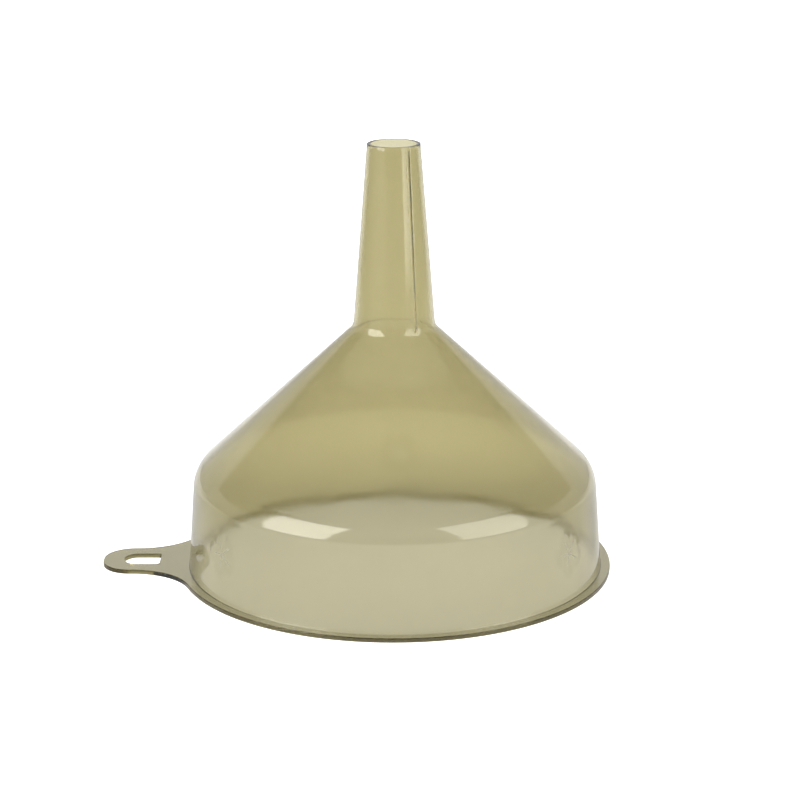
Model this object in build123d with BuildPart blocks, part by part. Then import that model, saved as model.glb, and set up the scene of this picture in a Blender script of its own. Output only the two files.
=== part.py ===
from build123d import *
import os
from math import atan, cos, degrees, hypot, radians, sin, sqrt

# A household funnel: one clear plastic moulding, standing on its mouth with the spout up.
# Millimetres. The origin is the centre of the mouth in the plane that the rim rests on, +Z
# runs along the axis to the spout's tip, and the hanging tab points along -X. The moulding
# is written as the zones a person would name, which meet face to face and never overlap.

# Driving dimensions: the rim and the walls
RIM_RADIUS = 75.0
RIM_THICKNESS = 1.5
WALL = 1.2
HEIGHT = 148.5

# The outer wall's corners, as radius and height, before they are rounded
TIP_RADIUS = 9.0
NECK_RADIUS, NECK_HEIGHT = 14.0, 86.0
SHOULDER_RADIUS, SHOULDER_HEIGHT = 69.3, 34.6
FOOT_RADIUS = 71.7
NECK_ROUND = 5.0
SHOULDER_ROUND = 11.0
LIP_ROUND = 0.3

# The hanging tab and its slot
TAB_REACH = 102.0
TAB_HALF_WIDTH = 11.2
TAB_TIP_ROUND = 10.0
TAB_FLARE = 22.0
SLOT_INNER, SLOT_OUTER = 82.2, 94.6
SLOT_HALF_WIDTH = 5.1
SLOT_INNER_ROUND = 1.4
SLOT_OUTER_ROUND = 4.5

# The air rib on the spout: it keeps a gap for air between the spout and a bottle's neck
RIB_RADIUS = 0.75
RIB_AZIMUTH = 30.7
RIB_TOP = HEIGHT - 1.6
RIB_FOOT = NECK_HEIGHT + 1.4

# The rosettes raised on the drum, at angles from the front (-Y) towards +X
ROSETTE_AZIMUTHS = {"rosette_left": -54.1, "rosette_right": 55.4, "rosette_back": 179.0}
ROSETTE_HEIGHT = 18.0
ROSETTE_TURN = 113.0
PETALS = 5
PETAL_RADIUS = 3.2
PETAL_REACH = 4.7
PETAL_RELIEF = 0.15
STAMEN_START, STAMEN_END = 0.5, 4.6
STAMEN_WIDTH = 0.6
STAMEN_RELIEF = 0.3

# How far cutting shapes run past what they cut
SPARE = 5.0


def along(start, end, height):
    """The radius at a height on the straight line through two (radius, height) points."""
    share = (height - start[1]) / (end[1] - start[1])
    return start[0] + (end[0] - start[0]) * share


TIP = (TIP_RADIUS, HEIGHT)
NECK = (NECK_RADIUS, NECK_HEIGHT)
SHOULDER = (SHOULDER_RADIUS, SHOULDER_HEIGHT)
FOOT = (FOOT_RADIUS, RIM_THICKNESS)


def lean(start, end):
    """How far the line between two (radius, height) points leans from upright, in degrees."""
    return degrees(atan((end[0] - start[0]) / (start[1] - end[1])))


def round_reach(radius, turn):
    """How far along each line a rounded corner reaches from the corner's point."""
    return radius * sin(radians(turn) / 2) / cos(radians(turn) / 2)


# The heights where the rounds start and end, which are where the zones meet
spout_lean, cone_lean, drum_lean = lean(TIP, NECK), lean(NECK, SHOULDER), lean(SHOULDER, FOOT)
neck_reach = round_reach(NECK_ROUND, cone_lean - spout_lean)
shoulder_reach = round_reach(SHOULDER_ROUND, cone_lean - drum_lean)
NECK_TOP = NECK_HEIGHT + neck_reach * cos(radians(spout_lean))
NECK_BOTTOM = NECK_HEIGHT - neck_reach * cos(radians(cone_lean))
SHOULDER_TOP = SHOULDER_HEIGHT + shoulder_reach * cos(radians(cone_lean))
SHOULDER_BOTTOM = SHOULDER_HEIGHT - shoulder_reach * cos(radians(drum_lean))


def outer_line():
    """The outer wall's half section, run on past the tip and the foot so that it can be trimmed."""
    above, below = HEIGHT + SPARE, -SPARE
    return FilletPolyline(
        (along(TIP, NECK, above), above),
        NECK,
        SHOULDER,
        (along(SHOULDER, FOOT, below), below),
        radius=[NECK_ROUND, SHOULDER_ROUND],
    )


def wall_zone(bottom, top):
    """The wall's half section between two heights, in a sketch on Plane.XZ."""
    with BuildLine() as section:
        outer_line()
        offset(amount=WALL, side=Side.RIGHT, closed=True)
    make_face(section.edges())
    with Locations((0, bottom)):
        Rectangle(RIM_RADIUS, top - bottom, align=Align.MIN, mode=Mode.INTERSECT)


def write(name, part):
    """Labels a finished piece and writes it as a STEP file named after it."""
    part.label = name
    export_step(part, f"parts/{name}.step")


os.makedirs("parts", exist_ok=True)

# Spout: the tapered tube that goes into a bottle, with a rounded lip
with BuildPart() as spout:
    with BuildSketch(Plane.XZ):
        wall_zone(NECK_TOP, HEIGHT)
    revolve(axis=Axis.Z)
    fillet(spout.edges().group_by(Axis.Z)[-1], LIP_ROUND)
write("spout", spout.part)

# Neck: the rounded throat between the spout and the cone
with BuildPart() as neck:
    with BuildSketch(Plane.XZ):
        wall_zone(NECK_BOTTOM, NECK_TOP)
    revolve(axis=Axis.Z)
write("neck", neck.part)

# Cone
with BuildPart() as cone:
    with BuildSketch(Plane.XZ):
        wall_zone(SHOULDER_TOP, NECK_BOTTOM)
    revolve(axis=Axis.Z)
write("cone", cone.part)

# Shoulder: the round between the cone and the drum
with BuildPart() as shoulder:
    with BuildSketch(Plane.XZ):
        wall_zone(SHOULDER_BOTTOM, SHOULDER_TOP)
    revolve(axis=Axis.Z)
write("shoulder", shoulder.part)

# Drum: the nearly upright wall that holds the liquid poured in
with BuildPart() as drum:
    with BuildSketch(Plane.XZ):
        wall_zone(RIM_THICKNESS, SHOULDER_BOTTOM)
    revolve(axis=Axis.Z)
write("drum", drum.part)

# Rim flange: the flat ring round the mouth, which the funnel stands on
with BuildPart() as rim_flange:
    with BuildSketch(Plane.XZ):
        wall_zone(0, RIM_THICKNESS)
        with Locations((FOOT_RADIUS, 0)):
            Rectangle(RIM_RADIUS - FOOT_RADIUS, RIM_THICKNESS, align=Align.MIN)
    revolve(axis=Axis.Z)
write("rim_flange", rim_flange.part)

# Hanging tab: a flat ear flared into the flange, with a slot for a hook
flare_centre_x = -sqrt((RIM_RADIUS + TAB_FLARE) ** 2 - (TAB_HALF_WIDTH + TAB_FLARE) ** 2)
flare_centre_y = TAB_HALF_WIDTH + TAB_FLARE
root_share = RIM_RADIUS / hypot(flare_centre_x, flare_centre_y)
root_x, root_y = flare_centre_x * root_share, flare_centre_y * root_share
tip_centre_x = TAB_TIP_ROUND - TAB_REACH
tip_side_y = TAB_HALF_WIDTH - TAB_TIP_ROUND

with BuildPart() as hang_tab:
    with BuildSketch():
        with BuildLine():
            FilletPolyline(
                (flare_centre_x, TAB_HALF_WIDTH),
                (-TAB_REACH, TAB_HALF_WIDTH),
                (-TAB_REACH, -TAB_HALF_WIDTH),
                (flare_centre_x, -TAB_HALF_WIDTH),
                radius=TAB_TIP_ROUND,
            )
            RadiusArc((flare_centre_x, TAB_HALF_WIDTH), (root_x, root_y), -TAB_FLARE)
            RadiusArc((root_x, -root_y), (flare_centre_x, -TAB_HALF_WIDTH), -TAB_FLARE)
            ThreePointArc((root_x, root_y), (-RIM_RADIUS, 0), (root_x, -root_y))
        make_face()
        with BuildLine():
            FilletPolyline(
                (-SLOT_INNER, SLOT_HALF_WIDTH),
                (-SLOT_OUTER, SLOT_HALF_WIDTH),
                (-SLOT_OUTER, -SLOT_HALF_WIDTH),
                (-SLOT_INNER, -SLOT_HALF_WIDTH),
                radius=[SLOT_INNER_ROUND, SLOT_OUTER_ROUND, SLOT_OUTER_ROUND, SLOT_INNER_ROUND],
                close=True,
            )
        make_face(mode=Mode.SUBTRACT)
    extrude(amount=RIM_THICKNESS)
write("hang_tab", hang_tab.part)


def from_front(azimuth):
    """The unit vector that points out level at an angle from the front, positive towards +X."""
    return Vector(sin(radians(azimuth)), -cos(radians(azimuth)), 0)


def rib_point(height):
    """A point on the spout's outer face, on the rib's line."""
    return from_front(RIB_AZIMUTH) * along(TIP, NECK, height) + Vector(0, 0, height)


# Vent rib: a half-round bead with ball ends, laid along the spout's outer face
with BuildPart() as vent_rib:
    rib_line = Edge.make_line(rib_point(RIB_FOOT), rib_point(RIB_TOP))
    with BuildSketch(Plane(origin=rib_line @ 0, z_dir=rib_line % 0)):
        Circle(RIB_RADIUS)
    extrude(amount=rib_line.length)
    with Locations(rib_line @ 0, rib_line @ 1):
        Sphere(RIB_RADIUS)
    with BuildSketch(Plane.XZ):
        with BuildLine():
            outer_line()
            Polyline(
                (along(SHOULDER, FOOT, -SPARE), -SPARE),
                (0, -SPARE),
                (0, HEIGHT + SPARE),
                (along(TIP, NECK, HEIGHT + SPARE), HEIGHT + SPARE),
            )
        make_face()
    revolve(axis=Axis.Z, mode=Mode.SUBTRACT)
write("vent_rib", vent_rib.part)


def petals():
    """Five round petals round a middle, in a sketch."""
    Circle(PETAL_REACH)
    with PolarLocations(PETAL_REACH, PETALS, start_angle=ROSETTE_TURN):
        Circle(PETAL_RADIUS)


def stamens():
    """Five fine lines from the middle, one along each petal, in a sketch."""
    with PolarLocations((STAMEN_START + STAMEN_END) / 2, PETALS, start_angle=ROSETTE_TURN):
        SlotOverall(STAMEN_END - STAMEN_START, STAMEN_WIDTH)


def raised_on_drum(azimuth, outline, relief):
    """An outline wrapped onto the drum's outer face at an angle, standing proud by the relief."""
    out = from_front(azimuth)
    face = Plane(origin=(0, 0, ROSETTE_HEIGHT), x_dir=Vector(0, 0, 1).cross(out), z_dir=out)
    low, high = (along(SHOULDER, FOOT, 0), 0), (along(SHOULDER, FOOT, SHOULDER_BOTTOM), SHOULDER_BOTTOM)
    with BuildPart() as raised:
        with BuildSketch(face):
            outline()
        extrude(amount=FOOT_RADIUS + SPARE)
        with BuildSketch(Plane.XZ):
            with BuildLine() as skin:
                Polyline(low, high, (high[0] + relief, high[1]), (low[0] + relief, low[1]), close=True)
            make_face(skin.edges())
        revolve(axis=Axis.Z, mode=Mode.INTERSECT)
    return raised.part


# Rosettes: low plain flowers raised on the drum's outer face
for name, azimuth in ROSETTE_AZIMUTHS.items():
    petal_layer = raised_on_drum(azimuth, petals, PETAL_RELIEF)
    stamen_layer = raised_on_drum(azimuth, stamens, STAMEN_RELIEF)
    with BuildPart() as rosette:
        add(petal_layer)
        add(stamen_layer)
    write(name, rosette.part)
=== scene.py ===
import math
from cmath import exp, phase

import bmesh
import bpy
import numpy as np
from mathutils import Matrix, Vector, noise


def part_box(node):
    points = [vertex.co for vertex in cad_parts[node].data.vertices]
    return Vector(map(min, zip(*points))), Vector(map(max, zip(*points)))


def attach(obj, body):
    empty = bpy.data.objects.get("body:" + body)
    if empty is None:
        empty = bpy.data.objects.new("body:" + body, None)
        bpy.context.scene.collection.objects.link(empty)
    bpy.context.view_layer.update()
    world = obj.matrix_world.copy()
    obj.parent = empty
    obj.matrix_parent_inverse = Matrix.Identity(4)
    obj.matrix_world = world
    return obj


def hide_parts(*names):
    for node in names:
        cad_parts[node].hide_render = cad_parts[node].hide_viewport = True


# A clear smoky olive household funnel, standing on its mouth on a white table between two
# softboxes. Metres, in the CAD frame. The moulding is one watertight skin, because separate
# clear solids would show false faces inside the wall where they meet.

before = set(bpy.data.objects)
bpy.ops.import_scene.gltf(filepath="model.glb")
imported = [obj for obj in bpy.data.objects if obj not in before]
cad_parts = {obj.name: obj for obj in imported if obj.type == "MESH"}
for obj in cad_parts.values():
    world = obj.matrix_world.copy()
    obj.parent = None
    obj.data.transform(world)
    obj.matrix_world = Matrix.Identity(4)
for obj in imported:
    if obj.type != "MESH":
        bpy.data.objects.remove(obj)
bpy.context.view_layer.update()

MM = 0.001
TAU = 2 * math.pi

# ---------------------------------------------------------------- sizes, from the frame
spout_low, spout_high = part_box("spout")
neck_low, neck_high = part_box("neck")
cone_low, cone_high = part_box("cone")
shoulder_low, shoulder_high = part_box("shoulder")
drum_low, drum_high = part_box("drum")
flange_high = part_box("rim_flange")[1]
tab_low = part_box("hang_tab")[0]
rib_low, rib_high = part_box("vent_rib")
rosette_low, rosette_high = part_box("rosette_back")

HEIGHT = spout_high[2]
RIM_RADIUS = flange_high[0]
RIM_THICKNESS = flange_high[2]
TAB_REACH = -tab_low[0]
ROSETTE_HEIGHT = (rosette_low[2] + rosette_high[2]) / 2

# What the boxes don't tell, as in the CAD
TIP_RADIUS = 9.0 * MM
WALL = 1.2 * MM
TAB_HALF_WIDTH = 11.2 * MM
TAB_TIP_ROUND = 10.0 * MM
TAB_FLARE = 22.0 * MM
SLOT_INNER, SLOT_OUTER = 82.2 * MM, 94.6 * MM
SLOT_HALF_WIDTH = 5.1 * MM
SLOT_INNER_ROUND, SLOT_OUTER_ROUND = 1.4 * MM, 4.5 * MM
RIB_RADIUS = 0.75 * MM
RIB_AZIMUTH = 30.7
ROSETTE_AZIMUTHS = (-54.1, 55.4, 179.0)
ROSETTE_TURN = 113.0
PETALS = 5
PETAL_RADIUS, PETAL_REACH = 3.2 * MM, 4.7 * MM
STAMEN_START, STAMEN_END = 0.5 * MM, 4.6 * MM

# The skin's own: the rosettes are lower than the CAD's, with soft edges and finer lines
PETAL_RELIEF, PETAL_SOFTNESS = 0.05 * MM, 2.4 * MM
STAMEN_RELIEF, STAMEN_SOFTNESS = 0.06 * MM, 0.5 * MM
STAMEN_WIDTH = 0.5 * MM

# Small rounds on edges, and the flat strip that keeps a face's shading flat
LIP_ROUND = 0.2 * MM
EDGE_ROUND = 0.15 * MM
FOOT_ROUND = 0.35 * MM
SUPPORT = 0.3 * MM

# Slow waves of the wall's inner face, which start and reach their full height at two radii
WAVE_HEIGHT, WAVE_LENGTH = 0.08 * MM, 13 * MM
WAVE_START, WAVE_FULL = 30 * MM, 55 * MM

# Steps of the rim's edge, and points closer than this are one
RIM_STEPS = 200
NO_DISTANCE = 0.01 * MM

# The height above the flange from which the wall may have relief
PLAIN_FOOT = 2 * MM

# Spacing of the wall's columns, in degrees round the axis
PLAIN_COLUMNS, PLAIN_CLEARANCE = 2.4, 0.8
RIB_COLUMNS, RIB_REACH = 0.5, 6.0
ROSETTE_COLUMNS, ROSETTE_REACH = 0.3, 6.9


# ---------------------------------------------------------------- plane geometry
# A point of a flat outline is a complex number: x + iy in plan, radius + i height in section.
def meet(a, b, c, d):
    """Where the line through a and b crosses the line through c and d."""
    along, other, gap = b - a, d - c, c - a
    cross = along.real * other.imag - along.imag * other.real
    return a + along * (gap.real * other.imag - gap.imag * other.real) / cross


def arc(centre, start, end, count):
    """The points of the shorter arc round a centre between two points, with its ends."""
    turn = phase((end - centre) / (start - centre))
    return [centre + (start - centre) * exp(1j * turn * step / count) for step in range(count + 1)]


def rounded(before, corner, after, radius, count):
    """The points of an arc that rounds the corner between two straight lines."""
    to_before = (before - corner) / abs(before - corner)
    to_after = (after - corner) / abs(after - corner)
    half = abs(phase(to_after / to_before)) / 2
    middle = to_before + to_after
    centre = corner + middle / abs(middle) * radius / math.sin(half)
    reach = radius / math.tan(half)
    return arc(centre, corner + to_before * reach, corner + to_after * reach, count)


def rounded_line(start, corners, end):
    """A line through (point, radius, arc steps, spacing of the run up to it) corners.

    The last run takes its spacing from the end, which is (point, spacing)."""
    points = [start]
    path = [start] + [corner[0] for corner in corners] + [end[0]]
    for index, (corner, radius, steps, spacing) in enumerate(corners):
        bend = rounded(path[index], corner, path[index + 2], radius, steps)
        points += between(points[-1], bend[0], spacing) + bend
    return points + between(points[-1], end[0], end[1]) + [end[0]]


def between(start, end, spacing):
    """The points that divide a straight run evenly, without its ends."""
    count = max(1, round(abs(end - start) / spacing))
    return [start + (end - start) * step / count for step in range(1, count)]


def outward(points):
    """The unit normal on the right of the direction of travel, round a closed outline."""
    steps = np.roll(points, -1) - np.roll(points, 1)
    return -1j * steps / np.abs(steps)


# ---------------------------------------------------------------- the wall's half section
def wall_run(depth):
    """The four corners of the wall's face that lies a depth under the outer one, from z = 0 up."""
    tip = complex(TIP_RADIUS, HEIGHT)
    spout_foot = complex(spout_high[0], spout_low[2])
    neck_foot = complex(neck_high[0], neck_low[2])
    cone_foot = complex(cone_high[0], cone_low[2])
    shoulder_foot = complex(shoulder_high[0], shoulder_low[2])
    drum_foot = complex(drum_high[0], drum_low[2])
    runs = []
    for low, high in ((drum_foot, shoulder_foot), (cone_foot, neck_foot), (spout_foot, tip)):
        inward = 1j * (high - low) / abs(high - low) * depth
        runs.append((low + inward, high + inward))
    drum, cone, spout = runs
    ground = meet(*drum, 0, 1)
    top = meet(*spout, 1j * HEIGHT, 1 + 1j * HEIGHT)
    return ground, meet(*drum, *cone), meet(*cone, *spout), top


def tangent_radius(before, corner, after, tangent):
    """The radius of the round at a corner that leaves its line at the tangent point."""
    turn = abs(phase((corner - before) / (after - corner)))
    return abs(tangent - corner) / math.tan(turn / 2)


def wall_section():
    """The wall's section from under the mouth up the inside, over the lip and down the outside."""
    ground, shoulder, neck, top = wall_run(0)
    ground_in, shoulder_in, neck_in, top_in = wall_run(WALL)
    shoulder_round = tangent_radius(ground, shoulder, neck, complex(shoulder_high[0], shoulder_low[2]))
    neck_round = tangent_radius(shoulder, neck, top, complex(spout_high[0], spout_low[2]))
    foot = meet(ground, shoulder, 1j * RIM_THICKNESS, 1 + 1j * RIM_THICKNESS)
    corners = [
        (ground_in, EDGE_ROUND, 4, SUPPORT),
        (shoulder_in, shoulder_round - WALL, 12, 2 * MM),
        (neck_in, neck_round + WALL, 10, 2 * MM),
        (top_in, LIP_ROUND, 4, 2 * MM),
        (top, LIP_ROUND, 4, SUPPORT),
        (neck, neck_round, 10, 1.6 * MM),
        (shoulder, shoulder_round, 14, 2 * MM),
        (foot, FOOT_ROUND, 5, 0.4 * MM),
    ]
    start = ground_in + EDGE_ROUND + SUPPORT
    end = foot + FOOT_ROUND + SUPPORT
    return np.array(rounded_line(start, corners, (end, SUPPORT)))


# ---------------------------------------------------------------- columns round the axis
def dense(centre, half_width, step):
    """Angles every step degrees round a centre."""
    count = math.ceil(half_width / step)
    return [centre + step * index for index in range(-count, count + 1)]


def column_angles():
    """Angles from the front towards +X, closer together at the rib and the rosettes."""
    close = dense(RIB_AZIMUTH, RIB_REACH, RIB_COLUMNS)
    for azimuth in ROSETTE_AZIMUTHS:
        close += dense(azimuth, ROSETTE_REACH, ROSETTE_COLUMNS)
    plain = np.arange(-180.0, 180.0, PLAIN_COLUMNS)
    plain = [a for a in plain if min(abs((a - c + 180) % 360 - 180) for c in close) > PLAIN_CLEARANCE]
    angles = [(a + 180) % 360 - 180 for a in close] + plain
    return np.radians(sorted(angles))


# ---------------------------------------------------------------- relief on the outer face
def smooth_step(value):
    """0 below 0, 1 above 1 and an S-curve between."""
    value = np.clip(value, 0, 1)
    return value * value * (3 - 2 * value)


def across(angle, azimuth, radius):
    """How far round the wall a point lies from an azimuth in degrees."""
    return ((angle - math.radians(azimuth) + math.pi) % TAU - math.pi) * radius


def rosette_relief(angle, radius, height):
    """How far the rosettes stand out of the drum, and where their petals and fine lines are."""
    relief, flower, lines = np.zeros((3, *height.shape))
    for azimuth in ROSETTE_AZIMUTHS:
        point = across(angle, azimuth, radius) + 1j * (height - ROSETTE_HEIGHT)
        petals = np.abs(point) - PETAL_REACH
        stamens = np.full(point.shape, 1.0)
        for petal in range(PETALS):
            turned = point * exp(-1j * (math.radians(ROSETTE_TURN) + TAU * petal / PETALS))
            petals = np.minimum(petals, np.abs(turned - PETAL_REACH) - PETAL_RADIUS)
            spine = np.clip(turned.real, STAMEN_START, STAMEN_END)
            stamens = np.minimum(stamens, np.abs(turned - spine) - STAMEN_WIDTH / 2)
        petals = smooth_step(0.5 - petals / PETAL_SOFTNESS)
        line = smooth_step(0.5 - stamens / STAMEN_SOFTNESS)
        relief = np.maximum(relief, np.maximum(PETAL_RELIEF * petals, STAMEN_RELIEF * line))
        flower, lines = np.maximum(flower, petals), np.maximum(lines, line)
    return relief, flower, lines


def rib_relief(angle, radius, height):
    """How far the air rib stands out of the spout's outer face."""
    side = across(angle, RIB_AZIMUTH, radius)
    low, high = rib_low[2] + RIB_RADIUS, rib_high[2] - RIB_RADIUS
    end = height - np.clip(height, low, high)
    return np.sqrt(np.maximum(0, RIB_RADIUS**2 - side**2 - end**2))


def wave_relief(points, radius):
    """The slow unevenness that cooling leaves in the wall's inner face below the neck."""
    waves = [noise.noise(Vector(point) / WAVE_LENGTH) for point in points.reshape(-1, 3)]
    share = smooth_step((radius - WAVE_START) / (WAVE_FULL - WAVE_START))
    return WAVE_HEIGHT * np.reshape(waves, radius.shape) * share


def wall_grid():
    """The wall's points in rows by columns, how petalled each point is, and how scuffed and painted
    with a highlight it is.
    """
    section = wall_section()
    steps = np.gradient(section)
    normal = -1j * steps / np.abs(steps)
    outside = np.arange(len(section)) > np.argmax(section.imag)
    angle, point = np.meshgrid(column_angles(), section)
    normal = np.repeat(normal[:, None], angle.shape[1], axis=1)
    radius, height = point.real, point.imag
    relief, petals, scuffs_and_highlights = rosette_relief(angle, radius, height)
    above_foot = height > RIM_THICKNESS + PLAIN_FOOT
    on_face = outside[:, None] * above_foot
    rib = rib_relief(angle, radius, height) * (height > neck_low[2])
    relief = np.maximum(relief * on_face, rib)
    waves = wave_relief(around(point, angle), radius) * above_foot
    point = point + normal * np.where(outside[:, None], relief, waves)
    return around(point, angle), petals * on_face, scuffs_and_highlights * on_face


def around(point, angle):
    """Section points as places in space, at angles round the axis."""
    return np.stack([point.real * np.sin(angle), -point.real * np.cos(angle), point.imag], axis=-1)


# ---------------------------------------------------------------- the rim's plate and its tab
def plate_outline():
    """The flange's edge and the tab's, anticlockwise from the tab's far root."""
    flare = complex(0, TAB_HALF_WIDTH + TAB_FLARE)
    flare -= math.sqrt((RIM_RADIUS + TAB_FLARE) ** 2 - flare.imag**2)
    root = flare / abs(flare) * RIM_RADIUS
    side = complex(flare.real, TAB_HALF_WIDTH)
    corner = complex(-TAB_REACH, TAB_HALF_WIDTH)
    rim_turn = TAU - 2 * (math.pi - phase(root))
    turns = [rim_turn * step / RIM_STEPS for step in range(1, RIM_STEPS)]
    rim = [root.conjugate() * exp(1j * turn) for turn in turns]
    into = arc(flare, root, side, 20)
    tip = rounded(side, corner, corner.conjugate(), TAB_TIP_ROUND, 24)
    half = into + tip
    points = rim + half + [point.conjugate() for point in reversed(half)]
    return np.array(drop_doubles(points))


def slot_outline():
    """The slot's edge, clockwise, so that its right side is the hole."""
    inner = complex(-SLOT_INNER, SLOT_HALF_WIDTH)
    outer = complex(-SLOT_OUTER, SLOT_HALF_WIDTH)
    half = between(complex(-SLOT_INNER, 0), inner - 1j * SLOT_INNER_ROUND, 0.8 * MM)
    half += rounded(inner.conjugate(), inner, outer, SLOT_INNER_ROUND, 8)
    half += rounded(inner, outer, outer.conjugate(), SLOT_OUTER_ROUND, 16)
    points = half + [point.conjugate() for point in reversed(half)]
    return np.array(drop_doubles(points))[::-1]


def drop_doubles(points):
    """The points of a closed outline without those that repeat the one before."""
    return [p for index, p in enumerate(points) if abs(p - points[index - 1]) > NO_DISTANCE]


def edge_rows(outline):
    """Loops that take an outline's rounded edge from the plate's top to its underside."""
    normal = outward(outline)
    section = [(EDGE_ROUND + SUPPORT, RIM_THICKNESS)]
    for angle in (math.radians(degrees) for degrees in (0, 30, 60, 90)):
        drop = EDGE_ROUND * (1 - math.cos(angle))
        section.append((EDGE_ROUND * (1 - math.sin(angle)), RIM_THICKNESS - drop))
    section += [(inset, RIM_THICKNESS - height) for inset, height in reversed(section)]
    return [(outline - normal * inset, height) for inset, height in section]


# ---------------------------------------------------------------- the skin
def add_rows(mesh, rows):
    """Adds rows of points as loops of vertices with faces between them, and returns the loops."""
    loops = [[mesh.verts.new(point) for point in row] for row in rows]
    for low, high in zip(loops, loops[1:]):
        for index in range(len(low)):
            mesh.faces.new((low[index - 1], low[index], high[index], high[index - 1]))
    return loops


def ring_edges(mesh, loop):
    """The edges of a loop of vertices."""
    return [mesh.edges.get((loop[index - 1], loop[index])) for index in range(len(loop))]


def fill_flat(mesh, loops):
    """Closes the flat region that the loops bound."""
    edges = [edge for loop in loops for edge in ring_edges(mesh, loop)]
    bmesh.ops.triangle_fill(mesh, use_beauty=True, use_dissolve=False, edges=edges)


def make_moulding():
    """The whole moulding as one closed skin."""
    mesh = bmesh.new()
    # One layer marks the rosettes' fine lines, which are scuffed and carry a painted highlight.
    for name in ("petal", "scuff_and_highlight"):
        mesh.verts.layers.float.new(name)
    points, petals, scuffs_and_highlights = wall_grid()
    wall = add_rows(mesh, points.tolist())
    for name, values in (("petal", petals), ("scuff_and_highlight", scuffs_and_highlights)):
        layer = mesh.verts.layers.float[name]
        for vertex, value in zip([vertex for loop in wall for vertex in loop], values.ravel()):
            vertex[layer] = value
    edges = []
    for outline in (plate_outline(), slot_outline()):
        rows = edge_rows(outline)
        edges.append(add_rows(mesh, [[(p.real, p.imag, z) for p in row] for row, z in rows]))
    fill_flat(mesh, [wall[-1]] + [loops[0] for loops in edges])
    fill_flat(mesh, [wall[0]] + [loops[-1] for loops in edges])
    bmesh.ops.recalc_face_normals(mesh, faces=mesh.faces)
    data = bpy.data.meshes.new("funnel_moulding")
    mesh.to_mesh(data)
    open_edges = sum(1 for edge in mesh.edges if not edge.is_manifold)
    print("moulding:", len(mesh.faces), "faces,", open_edges, "open edges")
    mesh.free()
    data.shade_smooth()
    moulding = bpy.data.objects.new("funnel_moulding", data)
    bpy.context.scene.collection.objects.link(moulding)
    return moulding


# ---------------------------------------------------------------- materials
def map_range(nodes, links, value, source, target, smooth=False):
    """A node that maps a value from one range to another, clamped."""
    node = nodes.new("ShaderNodeMapRange")
    node.interpolation_type = "SMOOTHSTEP" if smooth else "LINEAR"
    node.inputs["From Min"].default_value, node.inputs["From Max"].default_value = source
    node.inputs["To Min"].default_value, node.inputs["To Max"].default_value = target
    links.new(value, node.inputs["Value"])
    return node.outputs["Result"]


def mix_colours(nodes, links, share, first, second):
    """A node that mixes two colours, each a socket or a value."""
    node = nodes.new("ShaderNodeMix")
    node.data_type = "RGBA"
    links.new(share, node.inputs[0])
    for socket, colour in zip(node.inputs[6:8], (first, second)):
        if isinstance(colour, bpy.types.NodeSocket):
            links.new(colour, socket)
        else:
            socket.default_value = colour
    return node.outputs[2]


def attribute_node(nodes, name):
    """The value that the mesh's vertices carry under a name."""
    node = nodes.new("ShaderNodeAttribute")
    node.attribute_name = name
    return node.outputs["Fac"]


def split_node(nodes, links, place):
    """A place's X, Y and Z."""
    node = nodes.new("ShaderNodeSeparateXYZ")
    links.new(place, node.inputs["Vector"])
    return node.outputs


def noise_node(nodes, links, place, scale):
    """A noise texture's value at a place."""
    node = nodes.new("ShaderNodeTexNoise")
    node.inputs["Scale"].default_value = scale
    links.new(place, node.inputs["Vector"])
    return node.outputs["Fac"]


def math_node(nodes, links, operation, first, second):
    """A maths node on two values, each a socket or a number."""
    node = nodes.new("ShaderNodeMath")
    node.operation = operation
    for socket, value in zip(node.inputs, (first, second)):
        if isinstance(value, bpy.types.NodeSocket):
            links.new(value, socket)
        else:
            socket.default_value = value
    return node.outputs["Value"]


# Most of a wall's tint lies at its faces and the rest in its depth, which keeps the edges olive.
# The depth's absorption per metre is density times (1 - colour).
PLASTIC_IOR = 1.49
FACE_TINT = (0.755, 0.722, 0.56, 1)
# The fine lines' pale tint is a painted highlight, standing in for light caught by their raised edges.
PETAL_TINT, LINE_PAINTED_HIGHLIGHT = (0.69, 0.66, 0.49, 1), (0.94, 0.92, 0.86, 1)
ABSORPTION_COLOUR = (0.518, 0.451, 0.0, 1)
ABSORPTION_DENSITY = 195

# Roughness drifts between two values over the skin. The rosettes' fine lines are scuffed and rougher,
# and also carry a painted highlight in their tint; the face that the funnel stands and slides on is a
# little worn.
SHEEN_PATCHES, SHEEN_CONTRAST, SHEEN_RANGE = 55, (0.3, 0.7), (0.07, 0.13)
SCUFF_ROUGHNESS = 0.45
WORN_ROUGHNESS, WORN_HEIGHT = 0.2, 0.25 * MM
GRAIN_SCALE, GRAIN_DEPTH = 600, 0.006 * MM

WHITE = (1, 1, 1, 1)


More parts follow.
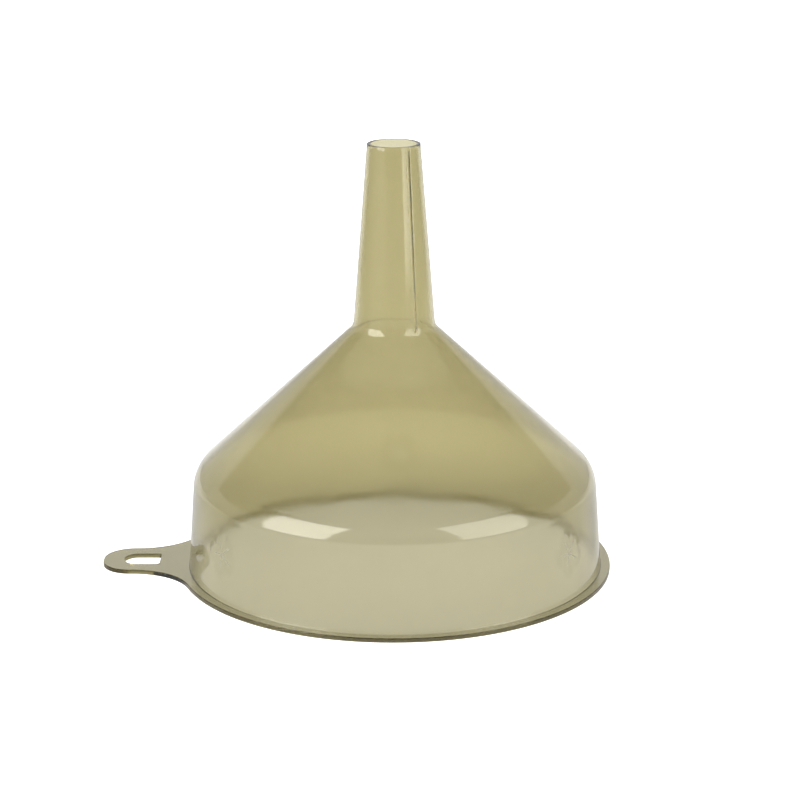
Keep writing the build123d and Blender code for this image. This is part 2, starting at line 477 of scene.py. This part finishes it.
def plastic_material():
    """Clear smoky olive plastic, tinted at its faces and in its depth."""
    material = bpy.data.materials.new("smoky_olive_plastic")
    material.use_nodes = True
    nodes, links = material.node_tree.nodes, material.node_tree.links
    shader = nodes["Principled BSDF"]
    shader.inputs["Transmission Weight"].default_value = 1
    shader.inputs["IOR"].default_value = PLASTIC_IOR
    petal, scuff_and_highlight = attribute_node(nodes, "petal"), attribute_node(nodes, "scuff_and_highlight")
    tint = mix_colours(nodes, links, petal, FACE_TINT, PETAL_TINT)
    # Painted highlight: the rosettes' fine lines are mixed towards a pale tint.
    tint = mix_colours(nodes, links, scuff_and_highlight, tint, LINE_PAINTED_HIGHLIGHT)
    links.new(tint, shader.inputs["Base Color"])

    place = nodes.new("ShaderNodeTexCoord").outputs["Object"]
    parts = split_node(nodes, links, place)
    patches = noise_node(nodes, links, place, SHEEN_PATCHES)
    patches = map_range(nodes, links, patches, SHEEN_CONTRAST, SHEEN_RANGE)
    worn = map_range(nodes, links, scuff_and_highlight, (0, 1), (0, SCUFF_ROUGHNESS))
    underside = map_range(nodes, links, parts["Z"], (0, WORN_HEIGHT), (WORN_ROUGHNESS, 0))
    worn = math_node(nodes, links, "MAXIMUM", worn, underside)
    links.new(math_node(nodes, links, "MAXIMUM", patches, worn), shader.inputs["Roughness"])

    grain = nodes.new("ShaderNodeBump")
    grain.inputs["Distance"].default_value = GRAIN_DEPTH
    links.new(noise_node(nodes, links, place, GRAIN_SCALE), grain.inputs["Height"])
    links.new(grain.outputs["Normal"], shader.inputs["Normal"])

    volume = nodes.new("ShaderNodeVolumeAbsorption")
    volume.inputs["Color"].default_value = ABSORPTION_COLOUR
    volume.inputs["Density"].default_value = ABSORPTION_DENSITY
    links.new(volume.outputs["Volume"], nodes["Material Output"].inputs["Volume"])
    return material


# The table near the funnel gheights less than the sweep behind it, which begins at these two Y, and
# the floor in front and beside gheights least. SEEN_GLOW makes the table pure white to the camera.
TABLE_GLOW, SWEEP_GLOW, FLOOR_GLOW = 0.54, 0.81, 0.35
SWEEP_START_END = (0.06, 0.16)
SEEN_GLOW = 0.8
TABLE_WHITE, FLOOR_WHITE, TABLE_ROUGHNESS = 0.5, 0.2, 0.8

# The floor begins this far from the funnel, and forward of a line that spreads this much with X
TABLE_EDGE, TABLE_FADE = 0.45, 0.35
FLOOR_SPREAD, FLOOR_FADE = 0.6, 0.3


def floor_share(nodes, links, place, parts):
    """1 on the floor in front and beside, 0 on the table and the sweep behind, blended between."""
    reach = nodes.new("ShaderNodeVectorMath")
    reach.operation = "LENGTH"
    links.new(place, reach.inputs[0])
    far = (TABLE_EDGE, TABLE_EDGE + TABLE_FADE)
    beyond = map_range(nodes, links, reach.outputs["Value"], far, (0, 1), True)
    side = math_node(nodes, links, "ABSOLUTE", parts["X"], 0)
    spread = math_node(nodes, links, "MULTIPLY", side, FLOOR_SPREAD)
    back = math_node(nodes, links, "SUBTRACT", parts["Y"], spread)
    ahead = map_range(nodes, links, back, (0, FLOOR_FADE), (1, 0), True)
    return math_node(nodes, links, "MULTIPLY", beyond, ahead)


def table_material():
    """A white light table that runs on behind into a sweep, with a dimmer floor in front."""
    material = bpy.data.materials.new("white_table")
    material.use_nodes = True
    nodes, links = material.node_tree.nodes, material.node_tree.links
    shader = nodes["Principled BSDF"]
    shader.inputs["Emission Color"].default_value = WHITE
    shader.inputs["Roughness"].default_value = TABLE_ROUGHNESS
    place = nodes.new("ShaderNodeTexCoord").outputs["Object"]
    parts = split_node(nodes, links, place)
    floor = floor_share(nodes, links, place, parts)
    white = map_range(nodes, links, floor, (0, 1), (TABLE_WHITE, FLOOR_WHITE))
    links.new(white, shader.inputs["Base Color"])

    bright = (TABLE_GLOW, SWEEP_GLOW)
    bright = map_range(nodes, links, parts["Y"], SWEEP_START_END, bright, True)
    dim = map_range(nodes, links, floor, (0, 1), (1, FLOOR_GLOW / SWEEP_GLOW))
    glow = math_node(nodes, links, "MULTIPLY", bright, dim)
    to_camera = nodes.new("ShaderNodeLightPath").outputs["Is Camera Ray"]
    seen = math_node(nodes, links, "MULTIPLY", to_camera, SEEN_GLOW)
    glow = math_node(nodes, links, "ADD", glow, seen)
    links.new(glow, shader.inputs["Emission Strength"])
    return material


moulding = make_moulding()
moulding.data.materials.append(plastic_material())
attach(moulding, "root")
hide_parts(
    "spout", "vent_rib", "neck", "cone", "shoulder", "drum", "rim_flange", "hang_tab",
    "rosette_left", "rosette_right", "rosette_back",
)

# ---------------------------------------------------------------- table, world, lights, camera
TABLE_RADIUS, TABLE_SIDES = 4.0, 96
TABLE_GAP = 0.1 * MM
bpy.ops.mesh.primitive_circle_add(
    vertices=TABLE_SIDES, radius=TABLE_RADIUS, fill_type="NGON", location=(0, 0, -TABLE_GAP)
)
table = bpy.context.object
table.name = "table"
table.data.materials.append(table_material())

# A white backdrop stands behind up to this elevation, in degrees, and fades between two sines of
# the angle from the side towards the back. The ceiling is dim, and the camera sees only white.
BACKDROP_TOP, BACKDROP_EDGE = 21.0, 2.5
BACKDROP_BRIGHTNESS = 0.76
CEILING_BRIGHTNESS = 0.2
BACKDROP_ENDS = (-1.0, 0.2)


def studio_world():
    """The room round the table: bright behind up to the backdrop's top, dim in front and above."""
    world = bpy.data.worlds.new("studio")
    world.use_nodes = True
    nodes, links = world.node_tree.nodes, world.node_tree.links
    parts = split_node(nodes, links, nodes.new("ShaderNodeTexCoord").outputs["Generated"])
    top = (BACKDROP_TOP, BACKDROP_TOP + BACKDROP_EDGE)
    heights = [math.sin(math.radians(angle)) for angle in top]
    ceiling = map_range(nodes, links, parts["Z"], heights, (0, CEILING_BRIGHTNESS), True)
    under = map_range(nodes, links, parts["Z"], heights, (BACKDROP_BRIGHTNESS, 0), True)
    behind = map_range(nodes, links, parts["Y"], BACKDROP_ENDS, (0, 1))
    backdrop = math_node(nodes, links, "MULTIPLY", under, behind)
    background = nodes["Background"]
    background.inputs["Color"].default_value = WHITE
    room = math_node(nodes, links, "ADD", ceiling, backdrop)
    seen = nodes.new("ShaderNodeLightPath").outputs["Is Camera Ray"]
    links.new(math_node(nodes, links, "MAXIMUM", room, seen), background.inputs["Strength"])
    return world


bpy.context.scene.world = studio_world()

# A softbox's width and height for each metre of its distance
SOFTBOX_WIDTH, SOFTBOX_HEIGHT = 0.75, 0.85


def softbox(name, azimuth, elevation, distance, radiance):
    """A tall rectangular light that faces the funnel, at an azimuth, an elevation and a distance."""
    light = bpy.data.lights.new(name, "AREA")
    light.shape = "RECTANGLE"
    light.size, light.size_y = SOFTBOX_WIDTH * distance, SOFTBOX_HEIGHT * distance
    light.energy = radiance * math.pi * light.size * light.size_y
    lamp = bpy.data.objects.new(name, light)
    bpy.context.scene.collection.objects.link(lamp)
    level = distance * math.cos(math.radians(elevation))
    place = Vector((
        level * math.sin(math.radians(azimuth)),
        -level * math.cos(math.radians(azimuth)),
        distance * math.sin(math.radians(elevation)),
    ))
    lamp.location = place
    lamp.rotation_euler = place.to_track_quat("Z", "Y").to_euler()
    lamp.visible_camera = False
    return lamp


softbox("softbox_left", azimuth=-57, elevation=26, distance=6.0, radiance=5.3)
softbox("softbox_right", azimuth=55, elevation=27.5, distance=0.6, radiance=3.2)

# The camera stands in front, turned by small angles in degrees. Its lens is in millimetres.
CAMERA_PLACE = (0, -0.79855, 0.29178)
CAMERA_PITCH = 16.23
CAMERA_ORBIT = 0.4
CAMERA_YAW = -0.135
CAMERA_ROLL = -0.15
CAMERA_LENS, CAMERA_SENSOR = 108.93, 36
camera_data = bpy.data.cameras.new("camera")
camera_data.lens = CAMERA_LENS
camera_data.sensor_width = CAMERA_SENSOR
camera = bpy.data.objects.new("camera", camera_data)
orbit = Matrix.Rotation(math.radians(CAMERA_ORBIT), 4, "Z")
turn = Matrix.Rotation(math.radians(CAMERA_YAW), 4, "Z")
turn = turn @ Matrix.Rotation(math.radians(90 - CAMERA_PITCH), 4, "X")
turn = turn @ Matrix.Rotation(math.radians(CAMERA_ROLL), 4, "Z")
camera.matrix_world = orbit @ Matrix.Translation(CAMERA_PLACE) @ turn
bpy.context.scene.collection.objects.link(camera)
bpy.context.scene.camera = camera

# Light crosses many clear faces, so it needs many bounces
scene = bpy.context.scene
scene.view_settings.view_transform = "Standard"
scene.cycles.max_bounces = 32
scene.cycles.transmission_bounces = 32
scene.cycles.glossy_bounces = 12
scene.cycles.diffuse_bounces = 4
